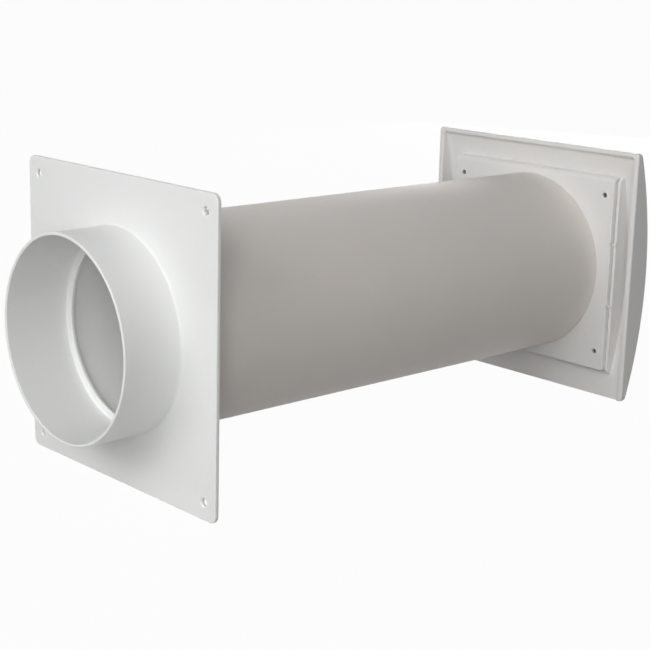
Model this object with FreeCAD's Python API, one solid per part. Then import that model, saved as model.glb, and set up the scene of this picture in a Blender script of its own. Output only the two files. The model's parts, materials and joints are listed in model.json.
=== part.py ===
import FreeCAD, Part
import math
import os

from FreeCAD import Vector

# Wall vent sleeve: a plate with a duct spigot for the room side, a tube through the wall,
# and a base plate with a bowed cowl for the outer face.
# Origin: on the tube's axis, at the wall face of the inner plate.
# +Y runs along the tube to the outside, +Z is up. Millimetres.

# Tube; its outside stands out past the spigot's by tube_step
wall_depth = 364.5
tube_step = 2.15
tube_wall = 2.0

# Collars that enter the tube
collar_gap = 0.2
collar_wall = 2.0
inner_collar_length = 55.0
outer_collar_length = 30.0
collar_lead = 0.8
collar_lead_length = 1.6

# Grooves round the collars that the tube's ends sit in, so that the plates lie flat on the wall
seat_depth = 0.8
seat_gap = 0.1

# Inner plate
inner_plate_side = 186.0
inner_plate_thickness = 2.5
inner_plate_corner_radius = 5.0
inner_plate_edge_radius = 0.8
inner_screw_inset = 10.5
inner_screw_dia = 4.5
inner_screw_sink = 0.8

# Duct spigot in front of the inner plate
spigot_outer_dia = 124.1
spigot_wall = 2.0
spigot_length = 38.3
spigot_rim_chamfer = 0.5
spigot_root_chamfer = 1.2
ledge_reach = 4.55
ledge_setback = 2.0
ledge_thickness = 2.0
ledge_root_chamfer = 1.2

# Outer base plate, a shallow tray open to the cowl and at its bottom
base_width = 149.8
base_height = 139.2
base_thickness = 2.4
base_depth = 8.0
base_skirt_wall = 2.4
base_top_radius = 6.0
base_corner_radius = 1.5
base_edge_chamfer = 0.6
base_screw_inset_x = 8.0
base_screw_inset_z = 13.0
base_screw_dia = 3.6

# Cowl
cowl_width = 187.5
cowl_height = 177.2
cowl_mid_depth = 19.0
cowl_edge_depth = 4.5
cowl_front_wall = 2.0
cowl_side_wall = 4.2
cowl_end_wall = 3.3
cowl_corner_radius = 2.5
cowl_inner_corner_radius = 1.0
cowl_front_radius = 1.0
cowl_rim_chamfer = 0.8

# Inner D-shaped walls of the cowl, outside the base plate's skirts
guide_gap = 0.3
guide_wall = 2.2
guide_setback = 3.5
guide_top_radius = 5.0
guide_foot = 4.3

# Posts that the base plate sits on, and the hooks that hold it
post_dia = 7.0
post_inset_x = 7.5
post_pitch_z = 84.0
hook_pitch_z = 44.8
hook_width = 1.8
hook_reach = 0.9
hook_thickness = 0.9
hook_setback = 1.6
notch_gap = 0.3

# Modelling margins: what counts as the same place or direction, and how far a cutting
# or joining solid runs past the face it meets
same_place = 1e-4
run_past = 1.0

# Worked-out sizes
spigot_outer_radius = spigot_outer_dia / 2
spigot_bore_radius = spigot_outer_radius - spigot_wall
ledge_opening_radius = spigot_bore_radius - ledge_reach
tube_outer_radius = spigot_outer_radius + tube_step
tube_bore_radius = tube_outer_radius - tube_wall
collar_outer_radius = tube_bore_radius - collar_gap
collar_bore_radius = collar_outer_radius - collar_wall
seat_radius = tube_outer_radius + seat_gap
cowl_back = wall_depth
guide_inner_x = base_width / 2 + guide_gap
guide_outer_x = guide_inner_x + guide_wall
inner_screw_pitch = inner_plate_side - 2 * inner_screw_inset
base_screw_pitch_x = base_width - 2 * base_screw_inset_x
base_screw_pitch_z = base_height - 2 * base_screw_inset_z
long_cut = 2 * wall_depth

AXIS = Vector(0, 1, 0)


def disc(radius, y_start, y_end):
    """Solid cylinder round the tube's axis from one Y to another."""
    return Part.makeCylinder(radius, y_end - y_start, Vector(0, y_start, 0), AXIS)


def ring(inner_radius, outer_radius, y_start, y_end):
    """Square-edged ring round the tube's axis."""
    return disc(outer_radius, y_start, y_end).cut(disc(inner_radius, y_start, y_end))


def turned(points):
    """Ring turned round the tube's axis from its (radius, y) outline."""
    outline = Part.makePolygon([Vector(r, y, 0) for r, y in points + points[:1]])
    return Part.Face(outline).revolve(Vector(0, 0, 0), AXIS, 360)


def runs_along_y(edge):
    """Whether an edge starts out along the tube's axis."""
    return 1 - abs(edge.tangentAt(edge.FirstParameter).y) < same_place


def rounded_block(width, height, y_start, y_end, corner_radius):
    """Block square to the axis, with its four long corners rounded."""
    corner = Vector(-width / 2, y_start, -height / 2)
    block = Part.makeBox(width, y_end - y_start, height, corner)
    if corner_radius <= 0:
        return block
    along_y = [e for e in block.Edges if runs_along_y(e)]
    return block.makeFillet(corner_radius, along_y)


def edges_at_y(shape, y):
    """Edges of a shape that lie wholly in the plane at this Y."""
    return [e for e in shape.Edges
            if abs(e.BoundBox.YMin - y) < same_place and abs(e.BoundBox.YMax - y) < same_place]


def circle_at_y(shape, y, radius):
    """Edges of a shape on one circle round the tube's axis."""
    return [e for e in edges_at_y(shape, y) if abs(e.BoundBox.XMax - radius) < same_place]


def four_places(pitch_x, pitch_z):
    """Centres of a rectangle of four, as (x, z)."""
    return [(sx * pitch_x / 2, sz * pitch_z / 2) for sx in (-1, 1) for sz in (-1, 1)]


def collar(y_root, y_tip):
    """Collar that enters the tube, with a tapered lead at its tip."""
    lead_start = y_tip + math.copysign(collar_lead_length, y_root - y_tip)
    return turned([
        (collar_bore_radius, y_root),
        (collar_outer_radius, y_root),
        (collar_outer_radius, lead_start),
        (collar_outer_radius - collar_lead, y_tip),
        (collar_bore_radius, y_tip),
    ])


def screw_holes(pitch_x, pitch_z, dia, y_start, y_end):
    """Straight drillings through a plate at four places."""
    length = y_end - y_start
    return [Part.makeCylinder(dia / 2, length, Vector(x, y_start, z), AXIS)
            for x, z in four_places(pitch_x, pitch_z)]


def make_inner_plate():
    """Square flange with the duct spigot in front and a collar behind."""
    front = -inner_plate_thickness
    rim = front - spigot_length
    ledge_back = ledge_setback + ledge_thickness
    flange = rounded_block(inner_plate_side, inner_plate_side, front, 0, inner_plate_corner_radius)
    flange = flange.makeFillet(inner_plate_edge_radius, edges_at_y(flange, front))
    body = flange.fuse([disc(spigot_outer_radius, rim, front), collar(0, inner_collar_length)])
    body = body.fuse(disc(collar_outer_radius, 0, ledge_back))
    body = body.cut(ring(collar_outer_radius, seat_radius, -seat_depth, run_past))
    body = body.cut(disc(spigot_bore_radius, rim, ledge_setback))
    body = body.cut(disc(ledge_opening_radius, rim, long_cut)).removeSplitter()

    body = body.makeChamfer(spigot_rim_chamfer, edges_at_y(body, rim))
    spigot_root = circle_at_y(body, front, spigot_outer_radius)
    body = body.makeChamfer(spigot_root_chamfer, spigot_root)
    ledge_root = circle_at_y(body, ledge_setback, spigot_bore_radius)
    body = body.makeChamfer(ledge_root_chamfer, ledge_root)

    holes = screw_holes(inner_screw_pitch, inner_screw_pitch, inner_screw_dia, front, 0)
    sink_radius = inner_screw_dia / 2 + inner_screw_sink
    for x, z in four_places(inner_screw_pitch, inner_screw_pitch):
        holes.append(Part.makeCone(sink_radius, inner_screw_dia / 2, inner_screw_sink,
                                   Vector(x, front, z), AXIS))
    return body.cut(holes)


def make_wall_tube():
    """Plain tube from the groove in one plate to the groove in the other."""
    return ring(tube_bore_radius, tube_outer_radius, -seat_depth, wall_depth + seat_depth)


def base_outline(inset):
    """Side outline of the base plate's tray in (depth, z), rounded at the top back edge."""
    low = -base_height / 2 + inset
    high = base_height / 2 - inset
    radius = base_top_radius - inset
    swing = radius * (1 - math.sqrt(0.5))
    back = inset
    line_up = Part.LineSegment(depth_point(back, low), depth_point(back, high - radius))
    bend = Part.Arc(depth_point(back, high - radius), depth_point(back + swing, high - swing),
                    depth_point(back + radius, high))
    return line_up, bend, low, high


def depth_point(depth, z):
    """Point in the YZ plane at a depth behind the outer wall face."""
    return Vector(0, cowl_back + depth, z)


def tray_block(width, inset, open_depth):
    """Solid with the tray's side outline, drawn in by an inset and run to a given depth."""
    line_up, bend, low, high = base_outline(inset)
    top = Part.LineSegment(bend.EndPoint, depth_point(open_depth, high))
    front = Part.LineSegment(depth_point(open_depth, high), depth_point(open_depth, low))
    bottom = Part.LineSegment(depth_point(open_depth, low), line_up.StartPoint)
    wire = Part.Wire([part.toShape() for part in (line_up, bend, top, front, bottom)])
    block = Part.Face(wire).extrude(Vector(width, 0, 0))
    block.translate(Vector(-width / 2, 0, 0))
    return block


def bottom_corners(tray):
    """The tray's two lower edges along Y."""
    return [e for e in tray.Edges
            if runs_along_y(e) and e.BoundBox.ZLength < same_place and e.BoundBox.ZMax < 0]


def back_outline(tray):
    """Edges round the tray's wall face, with the bend at its top."""
    bend_end = cowl_back + base_top_radius + same_place
    return [e for e in tray.Edges if e.BoundBox.YMax < bend_end
            and not (e.BoundBox.YLength < same_place and e.BoundBox.ZMin > 0)]


def hook_places():
    """Side (-1 or 1) and height of each hook."""
    return [(side, sz * hook_pitch_z / 2) for side in (-1, 1) for sz in (-1, 1)]


def side_box(side, x_inner, x_outer, depth_start, depth_end, z_mid, z_size):
    """Box on one side of the axis, between two distances from it."""
    x_low = min(side * x_inner, side * x_outer)
    corner = Vector(x_low, cowl_back + depth_start, z_mid - z_size / 2)
    return Part.makeBox(x_outer - x_inner, depth_end - depth_start, z_size, corner)


def make_outer_base_plate():
    """Tray against the outer wall face, with the collar that enters the tube."""
    tray = tray_block(base_width, 0, base_depth)
    tray = tray.makeFillet(base_corner_radius, bottom_corners(tray))
    tray = tray.makeChamfer(base_edge_chamfer, back_outline(tray))
    hollow = tray_block(base_width - 2 * base_skirt_wall, base_thickness, base_depth + run_past)
    half_inside = base_width / 2 - base_skirt_wall
    outlet = side_box(1, -half_inside, half_inside, base_thickness, base_depth + run_past,
                      -base_height / 2, 2 * base_skirt_wall)
    body = tray.cut([hollow, outlet])
    body = body.fuse(collar(cowl_back, cowl_back - outer_collar_length))
    body = body.cut(ring(collar_outer_radius, seat_radius, cowl_back - run_past,
                         cowl_back + seat_depth))
    body = body.cut(disc(collar_bore_radius, cowl_back - outer_collar_length,
                         cowl_back + base_depth))
    body = body.cut(screw_holes(base_screw_pitch_x, base_screw_pitch_z, base_screw_dia,
                                cowl_back, cowl_back + base_thickness))
    notch_x = guide_inner_x - hook_reach - notch_gap
    notch_end = hook_setback + hook_thickness + notch_gap
    for side, z in hook_places():
        body = body.cut(side_box(side, notch_x, base_width / 2 + run_past, -run_past,
                                 notch_end, z, hook_width + 2 * notch_gap))
    return body.removeSplitter()


def bow(depth_mid, depth_edge, half_height):
    """Arc of the cowl's front over its height."""
    return Part.Arc(depth_point(depth_edge, -half_height), depth_point(depth_mid, 0),
                    depth_point(depth_edge, half_height))


def bowed_block(width, height, depth_mid, depth_edge, depth_back):
    """Solid with a flat back and a front bowed over its height."""
    half = height / 2
    front = bow(depth_mid, depth_edge, half)
    top = Part.LineSegment(depth_point(depth_edge, half), depth_point(depth_back, half))
    back = Part.LineSegment(depth_point(depth_back, half), depth_point(depth_back, -half))
    bottom = Part.LineSegment(depth_point(depth_back, -half), depth_point(depth_edge, -half))
    wire = Part.Wire([part.toShape() for part in (front, top, back, bottom)])
    block = Part.Face(wire).extrude(Vector(width, 0, 0))
    block.translate(Vector(-width / 2, 0, 0))
    return block


def bow_radius():
    """Radius of the cowl's front."""
    rise = cowl_mid_depth - cowl_edge_depth
    half = cowl_height / 2
    return (half * half + rise * rise) / (2 * rise)


def inner_depth(z):
    """Depth of the inside of the cowl's front at a height."""
    radius = bow_radius()
    centre = cowl_mid_depth - radius
    inside = radius - cowl_front_wall
    return centre + math.sqrt(inside * inside - z * z)


def corner_edges(block):
    """The four short edges along Y at a block's corners."""
    return [e for e in block.Edges if runs_along_y(e) and e.BoundBox.ZLength < same_place]


def make_cowl_shell():
    """Bowed cover with a rim at its sides and top, open at the back and at the bottom."""
    outer = bowed_block(cowl_width, cowl_height, cowl_mid_depth, cowl_edge_depth, 0)
    outer = outer.makeFillet(cowl_corner_radius, corner_edges(outer))
    front = [e for e in outer.Edges if e.BoundBox.YMin > cowl_back + same_place]
    outer = outer.makeFillet(cowl_front_radius, front)
    outer = outer.makeChamfer(cowl_rim_chamfer, edges_at_y(outer, cowl_back))

    in_width = cowl_width - 2 * cowl_side_wall
    in_height = cowl_height - 2 * cowl_end_wall
    in_edge = inner_depth(in_height / 2)
    in_mid = cowl_mid_depth - cowl_front_wall
    hollow = bowed_block(in_width, in_height, in_mid, in_edge, -run_past)
    hollow = hollow.makeFillet(cowl_inner_corner_radius, corner_edges(hollow))
    past_bottom = cowl_height / 2 + run_past
    outlet = bowed_block(in_width, 2 * past_bottom, in_mid, inner_depth(past_bottom), -run_past)
    lower = Part.makeBox(in_width, 2 * cowl_mid_depth, past_bottom,
                         Vector(-in_width / 2, cowl_back - cowl_mid_depth, -past_bottom))
    return outer, outer.cut([hollow, outlet.common(lower)])


def make_guide(side, outer):
    """D-shaped wall from the cowl's front to beside the base plate."""
    half = base_height / 2
    foot = -half - guide_foot
    corner = depth_point(guide_setback, foot)
    corner.x = min(side * guide_inner_x, side * guide_outer_x)
    wall = Part.makeBox(guide_wall, cowl_mid_depth, half - foot, corner)
    wall = wall.makeFillet(guide_top_radius, level_back_edge(wall, half))
    wall = wall.makeChamfer(guide_foot, level_back_edge(wall, foot))
    return wall.common(outer)


def level_back_edge(wall, z):
    """Edge of a guide wall's back face that runs along X at a height."""
    return [e for e in wall.Edges
            if abs(e.BoundBox.YMax - cowl_back - guide_setback) < same_place
            and abs(e.BoundBox.ZMin - z) < same_place and e.BoundBox.ZLength < same_place]


def make_outer_cowl():
    """Cover with its two inner walls, the posts behind the base plate and the hooks."""
    outer, shell = make_cowl_shell()
    extras = [make_guide(side, outer) for side in (-1, 1)]
    for x, z in four_places(base_width - 2 * (base_skirt_wall + post_inset_x), post_pitch_z):
        post = Part.makeCylinder(post_dia / 2, cowl_mid_depth - base_thickness,
                                 Vector(x, cowl_back + base_thickness, z), AXIS)
        extras.append(post.common(outer))
    for side, z in hook_places():
        tongue = side_box(side, guide_inner_x, guide_outer_x, hook_setback,
                          guide_setback + run_past, z, hook_width)
        nib = side_box(side, guide_inner_x - hook_reach, guide_outer_x, hook_setback,
                       hook_setback + hook_thickness, z, hook_width)
        extras.append(tongue.fuse(nib))
    return shell.fuse(extras).removeSplitter()


def main():
    """Build each piece and write it out under its own name."""
    pieces = {
        "inner_plate": make_inner_plate(),
        "wall_tube": make_wall_tube(),
        "outer_base_plate": make_outer_base_plate(),
        "outer_cowl": make_outer_cowl(),
    }
    os.makedirs("parts", exist_ok=True)
    for name, shape in pieces.items():
        box = shape.BoundBox
        print(name, "solids", len(shape.Solids), "valid", shape.isValid(),
              "volume", round(shape.Volume, 1),
              "box", [round(v, 2) for v in (box.XMin, box.YMin, box.ZMin,
                                            box.XMax, box.YMax, box.ZMax)])
        shape.exportStep("parts/%s.step" % name)


main()
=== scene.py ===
import json
import math

import bmesh
import bpy
from bpy.props import FloatProperty, FloatVectorProperty, PointerProperty
from bpy.types import Operator, Panel, PropertyGroup
from mathutils import Matrix, Vector


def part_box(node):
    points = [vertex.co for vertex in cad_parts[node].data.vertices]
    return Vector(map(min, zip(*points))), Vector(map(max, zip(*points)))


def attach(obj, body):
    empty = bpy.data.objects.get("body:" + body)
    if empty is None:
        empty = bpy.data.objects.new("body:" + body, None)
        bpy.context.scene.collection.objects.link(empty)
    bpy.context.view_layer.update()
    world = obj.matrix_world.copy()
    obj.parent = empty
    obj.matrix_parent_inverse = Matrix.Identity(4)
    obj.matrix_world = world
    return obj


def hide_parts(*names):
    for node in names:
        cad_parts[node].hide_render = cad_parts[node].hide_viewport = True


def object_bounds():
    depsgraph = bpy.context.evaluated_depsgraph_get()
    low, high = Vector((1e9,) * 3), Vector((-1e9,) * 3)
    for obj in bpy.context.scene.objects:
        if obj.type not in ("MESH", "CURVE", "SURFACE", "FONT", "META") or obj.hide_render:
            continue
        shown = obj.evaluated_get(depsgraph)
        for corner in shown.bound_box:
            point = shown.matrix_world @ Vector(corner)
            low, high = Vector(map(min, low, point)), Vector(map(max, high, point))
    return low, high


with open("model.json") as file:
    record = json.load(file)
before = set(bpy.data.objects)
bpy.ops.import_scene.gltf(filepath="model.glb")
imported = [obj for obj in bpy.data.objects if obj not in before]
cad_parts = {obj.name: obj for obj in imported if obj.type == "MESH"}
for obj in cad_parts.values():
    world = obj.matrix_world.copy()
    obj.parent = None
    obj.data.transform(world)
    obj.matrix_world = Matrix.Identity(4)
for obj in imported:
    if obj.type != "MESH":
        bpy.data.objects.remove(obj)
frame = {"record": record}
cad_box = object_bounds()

bl_info = {
    "name": "Wall Vent Sleeve",
    "version": (1, 0, 0),
    "blender": (4, 5, 0),
    "location": "View3D > Sidebar > Vent Sleeve",
    "description": "Builds a through-wall vent sleeve: inner plate, tube, base plate and cowl",
    "category": "Add Mesh",
}

# The row frame, in metres: +Y runs along the tube to the outside, +Z is up, and the origin is
# on the tube's axis in the plane where the inner plate meets the wall.
MOUNTS = {mount["name"]: mount for mount in frame["record"]["mounts"]}
PLATE_LOW, PLATE_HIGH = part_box("inner_plate")
TUBE_LOW, TUBE_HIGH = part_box("wall_tube")
BASE_LOW, BASE_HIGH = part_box("outer_base_plate")
COWL_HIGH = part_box("outer_cowl")[1]
OUTER_WALL = MOUNTS["outer_base_screws"]["pos_m"][1]
MM = 0.001


def linear(hex_colour):
    """Linear red, green and blue of an sRGB hex colour."""
    levels = [int(hex_colour[i:i + 2], 16) / 255 for i in (1, 3, 5)]
    return [v / 12.92 if v <= 0.04045 else ((v + 0.055) / 1.055) ** 2.4 for v in levels]


def length(name, description, default):
    """Property that holds a length in metres."""
    return FloatProperty(name=name, description=description, default=default,
                         min=0.0, precision=5, subtype="DISTANCE", unit="LENGTH")


def colour(name, description, default):
    """Property that holds a colour, given as sRGB hex."""
    return FloatVectorProperty(name=name, description=description, default=linear(default),
                               size=3, min=0.0, max=1.0, subtype="COLOR")


def watts(name, description, default):
    """Property that holds the power of a lamp."""
    return FloatProperty(name=name, description=description, default=default,
                         min=0.0, unit="POWER")


class VentPlateSizes(PropertyGroup):
    thickness: length("Thickness", "Thickness of the flange", 2.5 * MM)
    corner_radius: length("Corner radius", "Radius of the flange's corners", 5 * MM)
    edge_radius: length("Edge radius", "Rounding of the flange's front edge", 0.8 * MM)
    spigot_wall: length("Spigot wall", "Wall of the duct spigot", 2 * MM)
    rim_radius: length("Rim radius", "Rounding of the spigot's rim", 0.7 * MM)
    root_radius: length("Root radius", "Rounding where the spigot leaves the flange", 1.2 * MM)
    ledge_opening: length("Ledge opening", "Radius of the opening in the stop ledge", 55.5 * MM)
    ledge_setback: length("Ledge setback", "Front of the ledge behind the wall face", 2 * MM)
    ledge_thickness: length("Ledge thickness", "Thickness of the ledge", 2 * MM)
    hole_flare: length("Hole flare", "Depth of the flare at each screw hole", 0.8 * MM)


class VentTubeSizes(PropertyGroup):
    wall: length("Wall", "Wall of the tube", 2 * MM)
    end_radius: length("End radius", "Rounding of the sawn ends", 0.25 * MM)
    collar_gap: length("Collar gap", "Clearance round the collars inside the tube", 0.2 * MM)
    collar_wall: length("Collar wall", "Wall of the collars", 2 * MM)
    collar_lead: length("Collar lead", "Draw-in at each collar's tip", 0.8 * MM)
    seat_gap: length("Seat gap", "Clearance round the tube's ends in their grooves", 0.1 * MM)


class VentBaseSizes(PropertyGroup):
    thickness: length("Thickness", "Thickness of the base plate", 2.4 * MM)
    top_radius: length("Top radius", "Rounding along the top edge", 3.5 * MM)
    corner_radius: length("Corner radius", "Radius of the lower corners", 1.5 * MM)
    edge_radius: length("Edge radius", "Rounding of the back edge", 0.7 * MM)
    hole_flare: length("Hole flare", "Depth of the flare at each screw hole", 0.3 * MM)


class VentCowlSizes(PropertyGroup):
    edge_depth: length("Edge depth", "Depth of the front at its top and bottom", 4.5 * MM)
    front_wall: length("Front wall", "Wall of the bowed front", 2 * MM)
    side_wall: length("Side wall", "Wall of the two D-shaped sides", 4.2 * MM)
    end_wall: length("End wall", "Wall of the top and bottom rims", 3.3 * MM)
    corner_radius: length("Corner radius", "Radius of the cowl's corners", 2.5 * MM)
    front_radius: length("Front radius", "Rounding round the front", 1 * MM)
    rim_radius: length("Rim radius", "Rounding of the rim", 1.2 * MM)
    inner_radius: length("Inner radius", "Rounding inside the cowl", 2.4 * MM)
    guide_gap: length("Guide gap", "Gap between base plate and guide wall", 0.3 * MM)
    guide_wall: length("Guide wall", "Thickness of the two guide walls", 2.2 * MM)
    guide_setback: length("Guide setback", "Back edge of the guide walls", 3.5 * MM)
    guide_radius: length("Guide radius", "Rounding at the top of the guide walls", 5 * MM)
    guide_foot: length("Guide foot", "Reach of the guide walls' slanted foot", 4.3 * MM)
    post_radius: length("Post radius", "Radius of the posts behind the base plate", 3.5 * MM)
    post_x: length("Post X", "Distance of the posts from the middle", 65 * MM)
    post_z: length("Post Z", "Height of the posts above and below the middle", 42 * MM)
    hook_z: length("Hook Z", "Height of the hooks above and below the middle", 22.4 * MM)
    hook_width: length("Hook width", "Width of each hook", 1.8 * MM)
    hook_reach: length("Hook reach", "Reach of each hook over the base plate", 0.9 * MM)
    hook_setback: length("Hook setback", "Back of each hook", 2.4 * MM)
    notch_gap: length("Notch gap", "Clearance round each hook in its notch", 0.3 * MM)


class VentFinish(PropertyGroup):
    plate: colour("Plate", "Moulded white of the inner plate", "#F3F4F3")
    tube: colour("Tube", "Extruded off-white of the tube", "#F0EAE5")
    cowl: colour("Cowl", "Moulded white of the base plate and cowl", "#EFEEEC")
    floor: colour("Floor", "Pale floor", "#B0B0AE")


class VentStudio(PropertyGroup):
    camera_place: FloatVectorProperty(name="Camera", description="Place of the camera",
                                      default=(0.72202, -0.50366, 0.22137), size=3,
                                      subtype="TRANSLATION", unit="LENGTH")
    azimuth: FloatProperty(name="Azimuth", description="Turn of the camera round the object",
                           default=math.radians(47.306), subtype="ANGLE", unit="ROTATION")
    elevation: FloatProperty(name="Elevation", description="Camera above the horizon",
                             default=math.radians(13.847), subtype="ANGLE", unit="ROTATION")
    roll: FloatProperty(name="Roll", description="Turn of the picture",
                        default=math.radians(1.500), subtype="ANGLE", unit="ROTATION")
    lens: FloatProperty(name="Lens", description="Focal length on a 36 mm wide sensor, in mm",
                        default=85.07)
    front_power: watts("Front", "Power of the lamp before the plate", 11.0)
    low_front_power: watts("Low front", "Power of the low lamp before the plate", 3.5)
    small_side_power: watts("Small side", "Power of the small lamp to the right", 6.9)
    high_side_power: watts("High side", "Power of the raised lamp to the right", 4.4)
    top_power: watts("Top", "Power of the lamp overhead", 2.2)
    back_power: watts("Back", "Power of the lamp behind the cowl", 18.0)
    ambient: FloatProperty(name="Ambient", description="Strength of the even light",
                           default=0.01, min=0.0)


# Mesh tools

# Faces round a rounded edge, round the tube's axis and round a hole, and along the bow, a guide
# wall and the outlet.
ROUND_STEPS = 6
TURN_STEPS = 160
HOLE_STEPS = 40
BOW_STEPS = 56
GUIDE_STEPS = 40
OUTLET_STEPS = 12

# Points closer than this are one point.
MERGE = 1e-7

# Flat margin beside a rounded edge, and how far a cutting tool runs past the material.
SUPPORT = 1.2 * MM

# Rounding of the collars, the ledge and the inner plate's back edge, and of the screw holes.
SMALL_EDGE = 0.3 * MM
HOLE_EDGE = 0.25 * MM

# Faces that meet at more than this keep a sharp edge.
SHARP_ANGLE = math.radians(36)


def softened(corners, steps=ROUND_STEPS):
    """Path in two numbers through (a, b) or (a, b, radius) corners, rounded by their radii."""
    path = [Vector(corners[0][:2])]
    for before, corner, after in zip(corners, corners[1:], corners[2:]):
        here = Vector(corner[:2])
        if len(corner) == 2:
            path.append(here)
            continue
        to_before = (Vector(before[:2]) - here).normalized()
        to_after = (Vector(after[:2]) - here).normalized()
        half = to_before.angle(to_after) / 2
        reach = corner[2] / math.tan(half)
        centre = here + (to_before + to_after).normalized() * corner[2] / math.sin(half)
        start = here + to_before * reach - centre
        end = here + to_after * reach - centre
        for step in range(steps + 1):
            path.append(centre + start.lerp(end, step / steps).normalized() * corner[2])
    path.append(Vector(corners[-1][:2]))
    return path


def circle(radius, y, x=0.0, z=0.0, steps=TURN_STEPS):
    """Loop of points on a circle about an axis along Y."""
    turns = [2 * math.pi * i / steps for i in range(steps)]
    return [Vector((x + radius * math.cos(t), y, z + radius * math.sin(t))) for t in turns]


def corner_arc(x, z, radius, start):
    """Quarter of a circle in XZ, from an angle in quarter turns."""
    turns = [math.pi / 2 * (start + i / ROUND_STEPS) for i in range(ROUND_STEPS + 1)]
    return [(x + radius * math.cos(t), z + radius * math.sin(t)) for t in turns]


def rectangle(half_x, low, high, low_radius, high_radius, side_steps=1):
    """Rounded rectangle in XZ: up the right side, over the top and down the left side."""
    right = corner_arc(half_x - low_radius, low + low_radius, low_radius, -1)
    bottom, top = low + low_radius, high - high_radius
    for i in range(1, side_steps):
        right.append((half_x, bottom + (top - bottom) * i / side_steps))
    right += corner_arc(half_x - high_radius, top, high_radius, 0)
    return right + [(-x, z) for x, z in reversed(right)]


class Cage:
    """Mesh in the making, laid out as closed loops of points."""

    def __init__(self):
        self.bm = bmesh.new()

    def loops(self, rows):
        """Lays closed loops and joins each to the next with faces."""
        laid = [[self.bm.verts.new(point) for point in row] for row in rows]
        for one, two in zip(laid, laid[1:]):
            for i in range(len(one)):
                self.bm.faces.new((one[i - 1], one[i], two[i], two[i - 1]))
        return laid

    def fill(self, *loops):
        """Closes a flat region that lies between loops."""
        edges = []
        for loop in loops:
            for i in range(len(loop)):
                ends = (loop[i - 1], loop[i])
                edges.append(self.bm.edges.get(ends) or self.bm.edges.new(ends))
        bmesh.ops.triangle_fill(self.bm, use_beauty=True, edges=edges, normal=(0, 1, 0))

    def strips(self, loop):
        """Closes a loop with level strips from its right half to its left half."""
        last = len(loop) - 1
        for i in range(len(loop) // 2 - 1):
            self.bm.faces.new((loop[i], loop[i + 1], loop[last - i - 1], loop[last - i]))

    def made(self, name):
        """Object of the finished mesh, with shared points joined and faces turned outward."""
        bmesh.ops.remove_doubles(self.bm, verts=self.bm.verts, dist=MERGE)
        bmesh.ops.recalc_face_normals(self.bm, faces=self.bm.faces)
        mesh = bpy.data.meshes.new(name)
        self.bm.to_mesh(mesh)
        self.bm.free()
        piece = bpy.data.objects.new(name, mesh)
        bpy.context.scene.collection.objects.link(piece)
        return piece


def turned(cage, corners, x=0.0, z=0.0, steps=TURN_STEPS):
    """Turns a (radius, y) path about an axis along Y."""
    return cage.loops([circle(r, y, x, z, steps) for r, y in softened(corners)])


def block(name, outline, low_x, high_x):
    """Solid with a (y, z) outline, run along X."""
    cage = Cage()
    rows = [[Vector((x, y, z)) for y, z in outline] for x in (low_x, high_x)]
    for end in cage.loops(rows):
        cage.bm.faces.new(end)
    return cage.made(name)


def ring_block(name, inner, outer, low_y, high_y, x=0.0, z=0.0, steps=TURN_STEPS):
    """Square-edged ring about an axis along Y, or a solid rod where inner is 0."""
    cage = Cage()
    if inner == 0:
        rows = cage.loops([circle(outer, y, x, z, steps) for y in (low_y, high_y)])
        for end in rows:
            cage.bm.faces.new(end)
    else:
        path = ((inner, low_y), (outer, low_y), (outer, high_y), (inner, high_y), (inner, low_y))
        cage.loops([circle(r, y, x, z, steps) for r, y in path])
    return cage.made(name)


def worked(piece, tool, operation):
    """Joins a tool to a piece, or cuts it away, and drops the tool."""
    modifier = piece.modifiers.new("work", "BOOLEAN")
    modifier.operation = operation
    modifier.solver = "EXACT"
    modifier.object = tool
    seen = piece.evaluated_get(bpy.context.evaluated_depsgraph_get())
    mesh = bpy.data.meshes.new_from_object(seen)
    piece.modifiers.clear()
    piece.data = mesh
    bpy.data.objects.remove(tool)


def finished(piece, node, material):
    """Shades a piece, gives it its finish and puts it in the place of its CAD node."""
    piece.data.shade_smooth()
    piece.data.set_sharp_from_angle(angle=SHARP_ANGLE)
    normals = piece.modifiers.new("even shading", "WEIGHTED_NORMAL")
    normals.keep_sharp = True
    piece.data.materials.clear()
    piece.data.materials.append(material)
    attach(piece, "root")
    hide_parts(node)


# Materials

# White plastic lets in a share of the light, which spreads this far in it, red the farthest.
LIGHT_SHARE = 0.35
LIGHT_REACH = 1.5 * MM
LIGHT_SPREAD = (1.0, 0.9, 0.8)

# Size of the faint mottling, its darker shade, and how far the roughness swings with it.
MOTTLING = 60 * MM
MOTTLED_SHADE = 0.97
SHEEN_SWING = 0.04


def add_node(tree, kind, settings=None, links=None):
    """Adds a node; settings go to its attributes or input sockets, links to its inputs."""
    node = tree.nodes.new(kind)
    for key, value in (settings or {}).items():
        if isinstance(key, str) and hasattr(node, key):
            setattr(node, key, value)
        else:
            node.inputs[key].default_value = value
    for key, output in (links or {}).items():
        tree.links.new(output, node.inputs[key])
    return node


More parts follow.
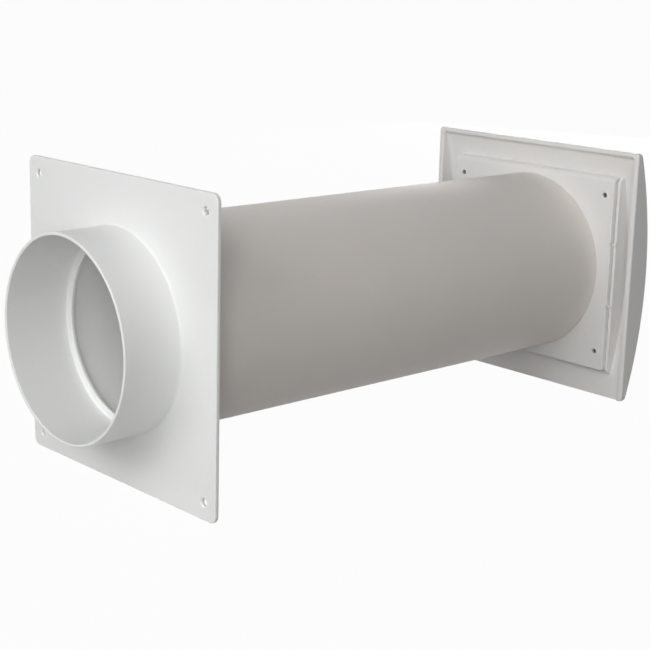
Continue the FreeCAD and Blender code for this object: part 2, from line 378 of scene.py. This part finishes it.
def plastic(name, base, roughness, grain, grain_height, stretch, ior):
    """White plastic: fine grain, a little light let in, slight mottling and a varying sheen."""
    material = bpy.data.materials.new(name)
    material.use_nodes = True
    tree = material.node_tree
    shader = tree.nodes["Principled BSDF"]
    shader.inputs["IOR"].default_value = ior
    shader.inputs["Subsurface Weight"].default_value = LIGHT_SHARE
    shader.inputs["Subsurface Radius"].default_value = LIGHT_SPREAD
    shader.inputs["Subsurface Scale"].default_value = LIGHT_REACH
    place = add_node(tree, "ShaderNodeTexCoord")
    stretched = add_node(tree, "ShaderNodeMapping", {"Scale": stretch},
                         {"Vector": place.outputs["Object"]})
    fine = add_node(tree, "ShaderNodeTexNoise",
                    {"Scale": 1 / grain, "Detail": 3.0, "Roughness": 0.6},
                    {"Vector": stretched.outputs["Vector"]})
    broad = add_node(tree, "ShaderNodeTexNoise", {"Scale": 1 / MOTTLING, "Detail": 2.0},
                     {"Vector": place.outputs["Object"]})
    tint = add_node(tree, "ShaderNodeValToRGB", None, {"Fac": broad.outputs["Fac"]})
    tint.color_ramp.elements[0].position = 0.3
    tint.color_ramp.elements[1].position = 0.7
    tint.color_ramp.elements[0].color = [*(v * MOTTLED_SHADE for v in base), 1]
    tint.color_ramp.elements[1].color = [*base, 1]
    sheen = add_node(tree, "ShaderNodeMapRange",
                     {"To Min": roughness - SHEEN_SWING, "To Max": roughness + SHEEN_SWING},
                     {"Value": broad.outputs["Fac"]})
    bump = add_node(tree, "ShaderNodeBump", {"Strength": 1.0, "Distance": grain_height},
                    {"Height": fine.outputs["Fac"]})
    tree.links.new(tint.outputs["Color"], shader.inputs["Base Color"])
    tree.links.new(sheen.outputs["Result"], shader.inputs["Roughness"])
    tree.links.new(bump.outputs["Normal"], shader.inputs["Normal"])
    return material


def moulded_white(name, base):
    # Injection-moulded ABS from a spark-eroded tool: an even satin white that spreads the
    # light. The real grain is about 0.1 mm and is drawn at 0.7 mm, so that it shows.
    return plastic(name, base, roughness=0.42, grain=0.7 * MM, grain_height=0.01 * MM,
                   stretch=(1, 1, 1), ior=1.53)


def extruded_white(name, base):
    # Extruded rigid PVC: a duller off-white with faint lines that the die leaves along the
    # tube. The real lines are about 0.2 mm apart and are drawn at 1.2 mm, so that they show.
    return plastic(name, base, roughness=0.5, grain=1.2 * MM, grain_height=0.01 * MM,
                   stretch=(1, 0.02, 1), ior=1.54)


# Pieces

def collar_radii(tube):
    """Outer and inner radius of the collars, and the radius of the tube's grooves."""
    outer = TUBE_HIGH.x - tube.wall - tube.collar_gap
    return outer, outer - tube.collar_wall, TUBE_HIGH.x + tube.seat_gap


def collar_path(tube, root, tip):
    """Collar path from its bore at the root, round its tip, to its outside at the root."""
    outer, bore, _ = collar_radii(tube)
    lead = tip + math.copysign(2 * tube.collar_lead, root - tip)
    return [(bore, root, SMALL_EDGE), (bore, tip, SMALL_EDGE),
            (outer - tube.collar_lead, tip, SMALL_EDGE), (outer, lead, SMALL_EDGE)]


def screw_places(mount):
    """Centres of a mount's four screw holes."""
    dims = MOUNTS[mount]["dims"]
    half_x, half_z = dims["spacing_x_mm"] * MM / 2, dims["spacing_y_mm"] * MM / 2
    return [(sx * half_x, sz * half_z) for sx in (-1, 1) for sz in (-1, 1)]


def drilled(cage, mount, front, back, flare):
    """Lays a mount's screw holes; returns their loops on the front face and on the back."""
    radius = MOUNTS[mount]["dims"]["hole_r_mm"] * MM
    inward = math.copysign(1, back - front)
    path = [(radius + flare + HOLE_EDGE, front), (radius + flare, front, HOLE_EDGE / 2),
            (radius, front + inward * flare, HOLE_EDGE / 2), (radius, back, HOLE_EDGE),
            (radius + 2 * HOLE_EDGE, back)]
    holes = [turned(cage, path, x, z, HOLE_STEPS) for x, z in screw_places(mount)]
    return [hole[0] for hole in holes], [hole[-1] for hole in holes]


class VENT_SLEEVE_OT_inner_plate(Operator):
    """Square flange with the duct spigot, its stop ledge and the collar behind"""
    bl_idname = "vent_sleeve.inner_plate"
    bl_label = "Inner Plate"

    def execute(self, context):
        sizes, tube = context.scene.vent_plate, context.scene.vent_tube
        outer, _, seat = collar_radii(tube)
        spigot = MOUNTS["duct_spigot"]["dims"]["r_mm"] * MM
        spigot_bore = spigot - sizes.spigot_wall
        front, rim, tip = -sizes.thickness, PLATE_LOW.y, PLATE_HIGH.y
        ledge_back = sizes.ledge_setback + sizes.ledge_thickness
        half = PLATE_HIGH.x
        cage = Cage()

        path = softened([(sizes.edge_radius + SUPPORT, front), (0, front, sizes.edge_radius),
                         (0, 0, SMALL_EDGE), (SUPPORT, 0)])
        rows = []
        for inset, y in path:
            corner = sizes.corner_radius - inset
            flat = rectangle(half - inset, inset - half, half - inset, corner, corner)
            rows.append([Vector((x, y, z)) for x, z in flat])
        flange = cage.loops(rows)

        neck = turned(cage, [
            (spigot + sizes.root_radius + SUPPORT, front),
            (spigot, front, sizes.root_radius),
            (spigot, rim, sizes.rim_radius),
            (spigot_bore, rim, sizes.rim_radius),
            (spigot_bore, sizes.ledge_setback, sizes.root_radius),
            (sizes.ledge_opening, sizes.ledge_setback, SMALL_EDGE),
            (sizes.ledge_opening, ledge_back, SMALL_EDGE),
            *collar_path(tube, ledge_back, tip),
            (outer, 0),
            (outer + SUPPORT, 0),
        ])
        holes = drilled(cage, "inner_plate_screws", front, 0, sizes.hole_flare)
        cage.fill(flange[0], neck[0], *holes[0])
        cage.fill(flange[-1], neck[-1], *holes[1])
        piece = cage.made("inner_plate_moulding")
        groove = ring_block("groove", outer, seat, TUBE_LOW.y, SUPPORT)
        worked(piece, groove, "DIFFERENCE")
        finished(piece, "inner_plate",
                 moulded_white("Moulded ABS, plate white", context.scene.vent_finish.plate))
        return {"FINISHED"}


class VENT_SLEEVE_OT_wall_tube(Operator):
    """Plain tube through the wall"""
    bl_idname = "vent_sleeve.wall_tube"
    bl_label = "Wall Tube"

    def execute(self, context):
        sizes = context.scene.vent_tube
        outer, low, high = TUBE_HIGH.x, TUBE_LOW.y, TUBE_HIGH.y
        bore, middle = outer - sizes.wall, (low + high) / 2
        edge = sizes.end_radius
        cage = Cage()
        turned(cage, [(outer, middle), (outer, high, edge), (bore, high, edge),
                      (bore, low, edge), (outer, low, edge), (outer, middle)])
        piece = cage.made("wall_tube_pipe")
        finished(piece, "wall_tube",
                 extruded_white("Extruded PVC, tube off-white", context.scene.vent_finish.tube))
        return {"FINISHED"}


def bend_drop(radius, depth):
    """How far an edge rounded to a radius lies inside its corner at a depth."""
    if depth >= radius:
        return 0.0
    return radius - math.sqrt(radius ** 2 - (radius - depth) ** 2)


def bend_depths(radius, steps):
    """Depths of evenly turned steps round a quarter bend."""
    return [radius * (1 - math.cos(math.pi / 2 * i / steps)) for i in range(steps + 1)]


class VENT_SLEEVE_OT_base_plate(Operator):
    """Shallow tray against the outer wall face, with its collar, holes and notches"""
    bl_idname = "vent_sleeve.base_plate"
    bl_label = "Outer Base Plate"

    def execute(self, context):
        sizes, tube = context.scene.vent_base, context.scene.vent_tube
        cowl = context.scene.vent_cowl
        outer, bore, seat = collar_radii(tube)
        half_x, low, high = BASE_HIGH.x, BASE_LOW.z, BASE_HIGH.z
        wall = sizes.thickness
        cage = Cage()

        def section(inset, depth, bend, edge):
            """Loop round the tray at a depth, drawn in by its wall and its rounded edges."""
            draw = inset + bend_drop(edge, depth)
            top = high - inset - bend_drop(bend, depth - inset if inset else depth)
            flat = rectangle(half_x - draw, low + draw, top,
                             max(sizes.corner_radius - draw, edge), edge)
            return [Vector((x, OUTER_WALL + depth, z)) for x, z in flat]

        edge = sizes.edge_radius
        levels = bend_depths(edge, ROUND_STEPS)
        levels += [d for d in bend_depths(sizes.top_radius, 3 * ROUND_STEPS) if d > edge]
        deepest = BASE_HIGH.y - OUTER_WALL
        rows = [section(0, depth, sizes.top_radius, edge) for depth in levels + [deepest]]
        inner_bend = sizes.top_radius - wall
        inner_levels = [wall + d for d in bend_depths(inner_bend, ROUND_STEPS)]
        for depth in [deepest, *reversed(inner_levels)]:
            rows.append(section(wall, depth, inner_bend, edge))
        tray = cage.loops(rows)

        neck = turned(cage, [
            (bore + 2 * SUPPORT, OUTER_WALL + wall),
            *collar_path(tube, OUTER_WALL + wall, BASE_LOW.y),
            (outer, OUTER_WALL),
            (outer + SUPPORT / 2, OUTER_WALL),
        ])
        holes = drilled(cage, "outer_base_screws", OUTER_WALL + wall, OUTER_WALL, sizes.hole_flare)
        cage.fill(tray[-1], neck[0], *holes[0])
        cage.fill(tray[0], neck[-1], *holes[1])
        piece = cage.made("outer_base_plate_moulding")

        groove = ring_block("groove", outer, seat, OUTER_WALL - SUPPORT, TUBE_HIGH.y)
        worked(piece, groove, "DIFFERENCE")
        outlet = [(OUTER_WALL + wall, low - SUPPORT), (BASE_HIGH.y + SUPPORT, low - SUPPORT),
                  (BASE_HIGH.y + SUPPORT, low + 2 * wall), (OUTER_WALL + wall, low + 2 * wall)]
        worked(piece, block("outlet", outlet, wall - half_x, half_x - wall), "DIFFERENCE")
        reach = half_x + cowl.guide_gap - cowl.hook_reach - cowl.notch_gap
        notch_end = OUTER_WALL + cowl.hook_setback + cowl.hook_reach + cowl.notch_gap
        half_notch = cowl.hook_width / 2 + cowl.notch_gap
        for side in (-1, 1):
            for z in (-cowl.hook_z, cowl.hook_z):
                outline = [(OUTER_WALL - SUPPORT, z - half_notch), (notch_end, z - half_notch),
                           (notch_end, z + half_notch), (OUTER_WALL - SUPPORT, z + half_notch)]
                ends = sorted((side * reach, side * (half_x + SUPPORT)))
                worked(piece, block("notch", outline, *ends), "DIFFERENCE")
        finished(piece, "outer_base_plate",
                 moulded_white("Moulded ABS, base plate white", context.scene.vent_finish.cowl))
        return {"FINISHED"}


class VENT_SLEEVE_OT_cowl(Operator):
    """Bowed weather cover with its rim, D-shaped sides, guide walls, posts and hooks"""
    bl_idname = "vent_sleeve.cowl"
    bl_label = "Outer Cowl"

    def execute(self, context):
        sizes = context.scene.vent_cowl
        base = context.scene.vent_base
        half_x, half_z = COWL_HIGH.x, COWL_HIGH.z
        middle = COWL_HIGH.y - OUTER_WALL
        rise = middle - sizes.edge_depth
        bow = (half_z ** 2 + rise ** 2) / (2 * rise)

        def front(z, wall=0.0):
            """Depth of the bowed front at a height, or of a face that far behind it."""
            return middle - bow + math.sqrt((bow - wall) ** 2 - z ** 2)

        def inside(z):
            """Depth of the front's inner face at a height."""
            return front(z, sizes.front_wall)

        def row(inset_x, inset_z, depth_at):
            """Loop round the cowl, drawn in, at a depth that may change with height."""
            corner = max(sizes.corner_radius - min(inset_x, inset_z), sizes.inner_radius)
            top = half_z - inset_z
            flat = rectangle(half_x - inset_x, -top, top, corner, corner, BOW_STEPS)
            return [Vector((x, OUTER_WALL + depth_at(z), z)) for x, z in flat]

        quarter = [math.pi / 2 * i / ROUND_STEPS for i in range(ROUND_STEPS + 1)]
        front_r, rim_r, inner_r = sizes.front_radius, sizes.rim_radius, sizes.inner_radius
        side, end = sizes.side_wall, sizes.end_wall

        # From the bowed front round its edge, over the rim and back along the inside.
        rows = [row(front_r + SUPPORT, front_r + SUPPORT, front)]
        for t in quarter:
            inset, drop = front_r * (1 - math.sin(t)), front_r * (1 - math.cos(t))
            rows.append(row(inset, inset, lambda z, drop=drop: front(z) - drop))
        for t in quarter:
            inset, depth = rim_r * (1 - math.cos(t)), rim_r * (1 - math.sin(t))
            rows.append(row(inset, inset, lambda z, depth=depth: depth))
        for t in quarter:
            inset, depth = rim_r * (1 - math.sin(t)), rim_r * (1 - math.cos(t))
            rows.append(row(side - inset, end - inset, lambda z, depth=depth: depth))
        for t in quarter:
            inset, drop = inner_r * (1 - math.cos(t)), inner_r * (1 - math.sin(t))
            rows.append(row(side + inset, end + inset, lambda z, drop=drop: inside(z) - drop))
        rows.append(row(side + inner_r + SUPPORT, end + inner_r + SUPPORT, inside))
        cage = Cage()
        shell = cage.loops(rows)
        cage.strips(shell[0])
        cage.strips(shell[-1])
        piece = cage.made("outer_cowl_moulding")
        self.open_bottom(piece, side - half_x, half_x - side, -half_z, end + inner_r, inside)

        sunk = sizes.front_wall / 2
        guide_x = BASE_HIGH.x + sizes.guide_gap
        low, high = BASE_LOW.z, BASE_HIGH.z
        back = OUTER_WALL + sizes.guide_setback
        foot = low - sizes.guide_foot
        heights = [foot + (high - foot) * i / GUIDE_STEPS for i in range(GUIDE_STEPS + 1)]
        curve = [(OUTER_WALL + inside(z) + sunk, z) for z in heights]
        rounded = softened([(back, low), (back, high, sizes.guide_radius), curve[-1]])
        outline = [(y, z) for y, z in rounded[:-1]] + curve[::-1]
        for direction in (-1, 1):
            ends = sorted((direction * guide_x, direction * (guide_x + sizes.guide_wall)))
            worked(piece, block("guide", outline, *ends), "UNION")
            for z in (-sizes.post_z, sizes.post_z):
                post = ring_block("post", 0, sizes.post_radius, OUTER_WALL + base.thickness,
                                  OUTER_WALL + inside(z) + sunk / 2,
                                  direction * sizes.post_x, z, HOLE_STEPS)
                worked(piece, post, "UNION")
            for z in (-sizes.hook_z, sizes.hook_z):
                worked(piece, self.hook(sizes, direction, guide_x, z), "UNION")
        finished(piece, "outer_cowl",
                 moulded_white("Moulded ABS, cowl white", context.scene.vent_finish.cowl))
        return {"FINISHED"}

    def open_bottom(self, piece, low_x, high_x, bottom, height, inside):
        """Cuts away the bottom rim between the sides, down to the front's inner face."""
        # The cut stops short of the front's inner face by a skin too thin to see.
        skin = 0.01 * MM
        below = bottom - SUPPORT
        heights = [below + (height + SUPPORT) * i / OUTLET_STEPS for i in range(OUTLET_STEPS + 1)]
        outline = [(OUTER_WALL + inside(z) - skin, z) for z in heights]
        outline += [(OUTER_WALL - SUPPORT, heights[-1]), (OUTER_WALL - SUPPORT, below)]
        worked(piece, block("outlet", outline, low_x, high_x), "DIFFERENCE")

    def hook(self, sizes, direction, guide_x, z):
        """Tongue on a guide wall's back edge with its nib over the base plate."""
        tip, root = OUTER_WALL + sizes.hook_setback, OUTER_WALL + sizes.guide_setback + SUPPORT
        low, high = z - sizes.hook_width / 2, z + sizes.hook_width / 2
        nib_end = tip + sizes.hook_reach
        wall = sizes.guide_wall
        cage = Cage()
        across = [(-sizes.hook_reach, tip), (wall, tip), (wall, root), (0, root),
                  (0, nib_end), (-sizes.hook_reach, nib_end)]
        rows = [[Vector((direction * (guide_x + x), y, level)) for x, y in across]
                for level in (low, high)]
        for cap in cage.loops(rows):
            cage.bm.faces.new(cap)
        return cage.made("hook")


# Stage

# Metres from the middle of the object to each lamp.
LAMP_DISTANCE = 1.8

# Each lamp's name, the property that holds its power, its azimuth and elevation in degrees, and
# its width and height in metres.
LAMPS = (
    ("Low front lamp", "low_front_power", 0, 14, 1.6, 0.5),
    ("Small side lamp", "small_side_power", 47, 14, 0.6, 0.6),
    ("Front lamp", "front_power", 0, 30, 1.6, 0.8),
    ("High side lamp", "high_side_power", 40, 38, 1.2, 1.2),
    ("Top lamp", "top_power", 0, 85, 1.2, 1.2),
    ("Back lamp", "back_power", 205, 3, 1.2, 1.2),
)

# Half the width of the floor, and how far it is mixed to white for the camera: the rest shows
# the object's shadow.
FLOOR_REACH = 30.0
FLOOR_WHITE = 0.97


def white_to_the_camera(tree, shown, plain, share):
    """Mixes a plain shader towards a white one for camera, gloss and transmission rays."""
    rays = add_node(tree, "ShaderNodeLightPath")
    seen = add_node(tree, "ShaderNodeMath", {"operation": "MAXIMUM"},
                    {0: rays.outputs["Is Camera Ray"], 1: rays.outputs["Is Glossy Ray"]})
    either = add_node(tree, "ShaderNodeMath", {"operation": "MAXIMUM"},
                      {0: seen.outputs[0], 1: rays.outputs["Is Transmission Ray"]})
    amount = add_node(tree, "ShaderNodeMath", {"operation": "MULTIPLY", 1: share},
                      {0: either.outputs[0]})
    return add_node(tree, "ShaderNodeMixShader", None,
                    {0: amount.outputs[0], 1: plain.outputs[0], 2: shown.outputs[0]})


def area_lamp(name, centre, azimuth, elevation, width, height, power):
    """Soft lamp aimed at the centre; azimuth in degrees, from the front to the right."""
    turn, rise = math.radians(azimuth), math.radians(elevation)
    away = Vector((math.sin(turn) * math.cos(rise), -math.cos(turn) * math.cos(rise),
                   math.sin(rise)))
    lamp = bpy.data.lights.new(name, "AREA")
    lamp.shape = "RECTANGLE"
    lamp.size, lamp.size_y, lamp.energy = width, height, power
    holder = bpy.data.objects.new(name, lamp)
    holder.location = centre + away * LAMP_DISTANCE
    holder.rotation_euler = away.to_track_quat("Z", "Y").to_euler()
    bpy.context.scene.collection.objects.link(holder)


class VENT_SLEEVE_OT_stage(Operator):
    """Pale floor, soft studio light and the camera"""
    bl_idname = "vent_sleeve.stage"
    bl_label = "Stage"

    def execute(self, context):
        studio = context.scene.vent_studio
        self.floor(context)
        self.world(context, studio.ambient)
        centre = (Vector(cad_box[0]) + Vector(cad_box[1])) / 2
        for name, power, azimuth, elevation, width, height in LAMPS:
            area_lamp(name, centre, azimuth, elevation, width, height, getattr(studio, power))
        self.camera(context, studio)
        context.scene.view_settings.view_transform = "Standard"
        return {"FINISHED"}

    def floor(self, context):
        """Wide floor under the lowest edge, white to the camera, that keeps a soft shadow."""
        reach, level = FLOOR_REACH, cad_box[0].z
        mesh = bpy.data.meshes.new("floor")
        corners = [(-reach, -reach, level), (reach, -reach, level), (reach, reach, level),
                   (-reach, reach, level)]
        mesh.from_pydata(corners, [], [(0, 1, 2, 3)])
        floor = bpy.data.objects.new("studio_floor", mesh)
        context.scene.collection.objects.link(floor)
        material = bpy.data.materials.new("Painted studio floor, pale")
        material.use_nodes = True
        tree = material.node_tree
        plain = tree.nodes["Principled BSDF"]
        plain.inputs["Base Color"].default_value = [*context.scene.vent_finish.floor, 1]
        plain.inputs["Roughness"].default_value = 0.9
        shown = add_node(tree, "ShaderNodeEmission", {"Color": (1, 1, 1, 1), "Strength": 1.0})
        mixed = white_to_the_camera(tree, shown, plain, FLOOR_WHITE)
        tree.links.new(mixed.outputs[0], tree.nodes["Material Output"].inputs["Surface"])
        mesh.materials.append(material)

    def world(self, context, ambient):
        """Even light from all round, which the camera sees as white."""
        world = bpy.data.worlds.new("Studio")
        context.scene.world = world
        world.use_nodes = True
        tree = world.node_tree
        plain = tree.nodes["Background"]
        plain.inputs["Color"].default_value = (1, 1, 1, 1)
        plain.inputs["Strength"].default_value = ambient
        shown = add_node(tree, "ShaderNodeBackground", {"Color": (1, 1, 1, 1), "Strength": 1.0})
        mixed = white_to_the_camera(tree, shown, plain, 1.0)
        tree.links.new(mixed.outputs[0], tree.nodes["World Output"].inputs["Surface"])

    def camera(self, context, studio):
        """Camera at the photograph's viewing angle."""
        azimuth, elevation, roll = studio.azimuth, studio.elevation, studio.roll
        back = Vector((math.sin(azimuth) * math.cos(elevation),
                       -math.cos(azimuth) * math.cos(elevation), math.sin(elevation)))
        right = (-back).cross(Vector((0, 0, 1))).normalized()
        up = right.cross(-back)
        across = right * math.cos(roll) + up * math.sin(roll)
        upward = up * math.cos(roll) - right * math.sin(roll)
        turn = Matrix((across, upward, back)).transposed().to_4x4()
        data = bpy.data.cameras.new("Camera")
        data.sensor_width, data.lens = 36.0, studio.lens
        data.clip_start, data.clip_end = 0.01, 50.0
        camera = bpy.data.objects.new("Camera", data)
        camera.matrix_world = Matrix.Translation(studio.camera_place) @ turn
        context.scene.collection.objects.link(camera)
        context.scene.camera = camera


class VENT_SLEEVE_PT_panel(Panel):
    """Lists the pieces that can be built"""
    bl_idname = "VENT_SLEEVE_PT_panel"
    bl_label = "Vent Sleeve"
    bl_space_type = "VIEW_3D"
    bl_region_type = "UI"
    bl_category = "Vent Sleeve"

    def draw(self, context):
        for operator in OPERATORS:
            self.layout.operator(operator.bl_idname)


GROUPS = {
    "vent_plate": VentPlateSizes,
    "vent_tube": VentTubeSizes,
    "vent_base": VentBaseSizes,
    "vent_cowl": VentCowlSizes,
    "vent_finish": VentFinish,
    "vent_studio": VentStudio,
}
OPERATORS = (VENT_SLEEVE_OT_inner_plate, VENT_SLEEVE_OT_wall_tube, VENT_SLEEVE_OT_base_plate,
             VENT_SLEEVE_OT_cowl, VENT_SLEEVE_OT_stage)


def register():
    for cls in (*GROUPS.values(), *OPERATORS, VENT_SLEEVE_PT_panel):
        bpy.utils.register_class(cls)
    for name, group in GROUPS.items():
        setattr(bpy.types.Scene, name, PointerProperty(type=group))


def unregister():
    for name in GROUPS:
        delattr(bpy.types.Scene, name)
    for cls in reversed((*GROUPS.values(), *OPERATORS, VENT_SLEEVE_PT_panel)):
        bpy.utils.unregister_class(cls)


def main():
    register()
    bpy.ops.vent_sleeve.inner_plate()
    bpy.ops.vent_sleeve.wall_tube()
    bpy.ops.vent_sleeve.base_plate()
    bpy.ops.vent_sleeve.cowl()
    bpy.ops.vent_sleeve.stage()


if __name__ == "__main__":
    main()
